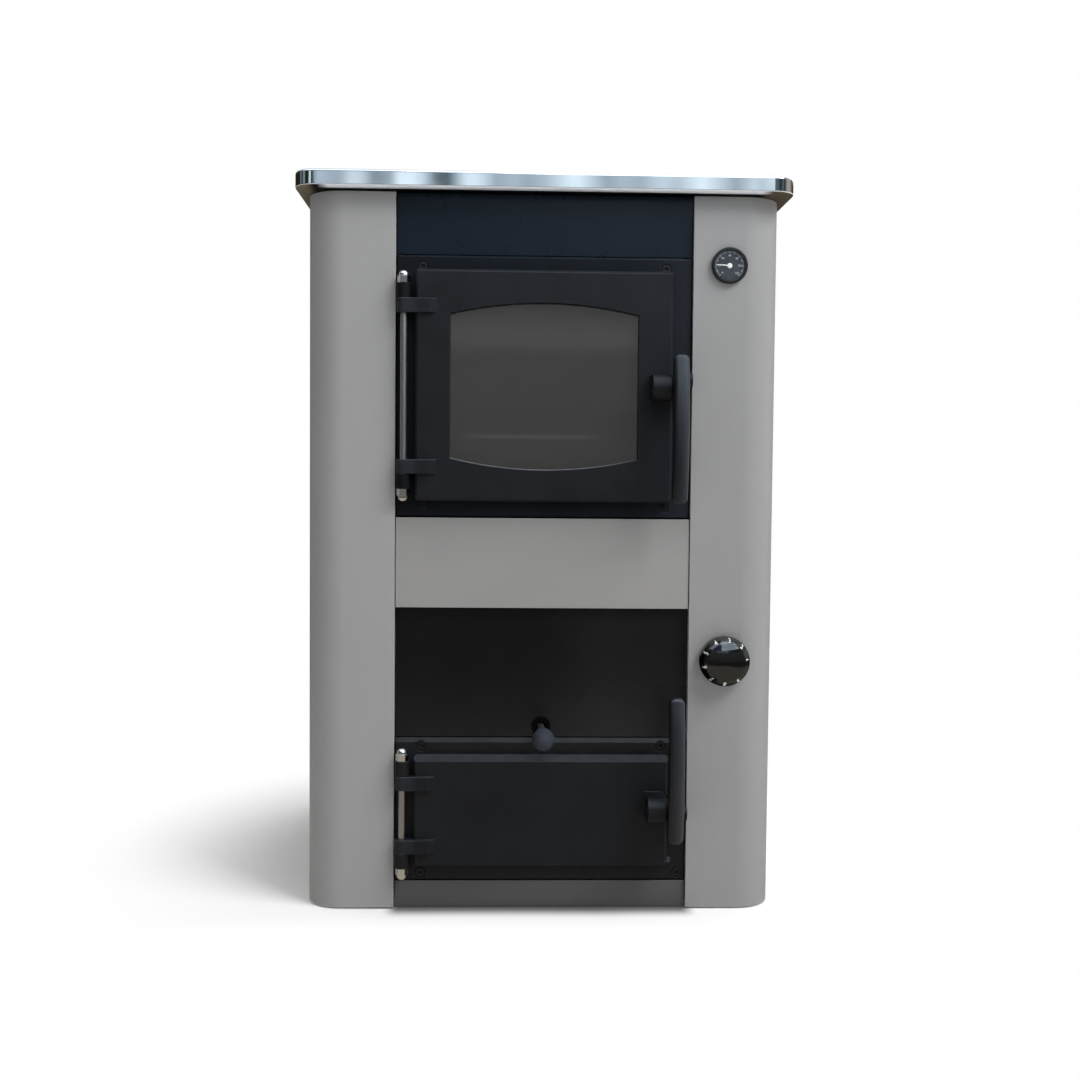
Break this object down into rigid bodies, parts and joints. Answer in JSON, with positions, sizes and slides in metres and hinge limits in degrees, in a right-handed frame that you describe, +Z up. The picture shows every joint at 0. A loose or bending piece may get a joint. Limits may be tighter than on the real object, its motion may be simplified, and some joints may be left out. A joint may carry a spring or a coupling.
{
  "type": "central heating cooker",
  "caption": "Solid-fuel central heating cooker with a glazed fire door over an ash door, lever handles, boiler jacket, cast hob in a chrome rim, rear flue collar and pipe sockets.",
  "frame": {"origin": "on the floor, under the middle of the whole cooker's box", "axes": "+X to the right seen from the front, the doors face -Y, +Z up"},
  "size_m": [0.572, 0.71, 0.85],
  "materials": {
    "column_grey": "satin stove paint",
    "cover_black": "satin black stove paint",
    "plinth_grey": "satin dark grey paint",
    "steel_plate": "heat-resistant black paint",
    "cast_black": "satin black stove paint on cast iron",
    "raw_cast": "bare cast iron",
    "rim_chrome": "polished",
    "bright_steel": "nickel plated",
    "door_glass": "smoked by use, ceramic glass",
    "gauge_glass": "clear",
    "gauge_black": "matt black",
    "gauge_white": "white",
    "knob_black": "gloss black",
    "rope_grey": "glass-fibre rope"
  },
  "bodies": {
    "cooker": {"air_inlet": "steel_plate", "ash_box": "steel_plate", "ash_door_frame": "cast_black", "ash_frame_screws": "cast_black", "ash_hinge_nuts": "bright_steel", "ash_hinge_pin": "bright_steel", "ash_keeper": "cast_black", "ash_runners": "steel_plate", "back_panel": "cover_black", "baffle_plate": "raw_cast", "base_frame": "steel_plate", "boiler_outer_shell": "steel_plate", "drain_connection": "bright_steel", "fire_door_frame": "cast_black", "fire_frame_screws": "cast_black", "fire_hinge_nuts": "bright_steel", "fire_hinge_pin": "bright_steel", "fire_keeper": "cast_black", "firebox_shell": "steel_plate", "flow_connection": "bright_steel", "flue_spigot": "cast_black", "grate_frame": "raw_cast", "hob_carrier": "steel_plate", "hob_plate": "raw_cast", "hob_rim": "rim_chrome", "left_side_panel": "column_grey", "levelling_feet": "bright_steel", "log_guard": "raw_cast", "lower_cover_panel": "cover_black", "middle_panel": "column_grey", "plinth_panel": "plinth_grey", "regulator_body": "gauge_black", "return_connection": "bright_steel", "right_side_panel": "column_grey", "sensor_pocket": "bright_steel", "shaker_collar": "cast_black", "thermometer_case": "gauge_black", "thermometer_dial": "gauge_black", "thermometer_glass": "gauge_glass", "upper_cover_panel": "cover_black"},
    "fire_door": {"fire_door_panel": "cast_black", "fire_door_glass": "door_glass", "glass_clips": "bright_steel", "fire_door_seal": "rope_grey", "fire_handle_pivot": "bright_steel"},
    "fire_handle": {"fire_handle": "cast_black"},
    "ash_door": {"ash_door_panel": "cast_black", "ash_door_seal": "rope_grey", "ash_handle_pivot": "bright_steel"},
    "ash_handle": {"ash_handle": "cast_black"},
    "shaker": {"shaker_rod": "bright_steel", "shaker_knob": "cast_black", "shaking_grate": "raw_cast"},
    "ash_pan": {"ash_pan": "steel_plate"},
    "hob_lid": {"hob_lid": "raw_cast"},
    "regulator_knob": {"regulator_knob": "knob_black"},
    "thermometer_pointer": {"thermometer_pointer": "gauge_white"},
    "air_flap": {"air_flap": "steel_plate"}
  },
  "joints": [
    {"name": "fire_door_hinge", "type": "hinge", "parent": "cooker", "child": "fire_door", "pos_m": [-0.161, -0.271, 0.611], "axis": [0, 0, -1], "range_deg": [0, 115]},
    {"name": "fire_handle_turn", "type": "hinge", "parent": "fire_door", "child": "fire_handle", "pos_m": [0.1515, -0.299, 0.6075], "axis": [1, 0, 0], "range_deg": [-35, 10]},
    {"name": "ash_door_hinge", "type": "hinge", "parent": "cooker", "child": "ash_door", "pos_m": [-0.161, -0.271, 0.1125], "axis": [0, 0, -1], "range_deg": [0, 115]},
    {"name": "ash_handle_turn", "type": "hinge", "parent": "ash_door", "child": "ash_handle", "pos_m": [0.1515, -0.299, 0.126], "axis": [1, 0, 0], "range_deg": [-10, 35]},
    {"name": "ash_pan_slide", "type": "slide", "parent": "cooker", "child": "ash_pan", "axis": [0, -1, 0], "range_m": [0, 0.1606]},
    {"name": "shaker_slide", "type": "slide", "parent": "cooker", "child": "shaker", "axis": [0, -1, 0], "range_m": [0, 0.025]},
    {"name": "hob_lid_lift", "type": "slide", "parent": "cooker", "child": "hob_lid", "axis": [0, 0, 1], "range_m": [0, 0.12]},
    {"name": "regulator_turn", "type": "hinge", "parent": "cooker", "child": "regulator_knob", "pos_m": [0.212, -0.28, 0.294], "axis": [0, 1, 0], "range_deg": [0, 270]},
    {"name": "air_flap_hinge", "type": "hinge", "parent": "cooker", "child": "air_flap", "pos_m": [0, 0.2989, 0.149], "axis": [1, 0, 0], "range_deg": [0, 40.5]},
    {"name": "thermometer_turn", "type": "hinge", "parent": "cooker", "child": "thermometer_pointer", "pos_m": [0.212, -0.2685, 0.75], "axis": [0, 1, 0], "range_deg": [-45, 225]}
  ],
  "couplings": [
    {"joint": "ash_pan_slide", "follows": "ash_door_hinge", "m_per_rad": 0.08},
    {"joint": "air_flap_hinge", "follows": "regulator_turn", "ratio": 0.15}
  ]
}
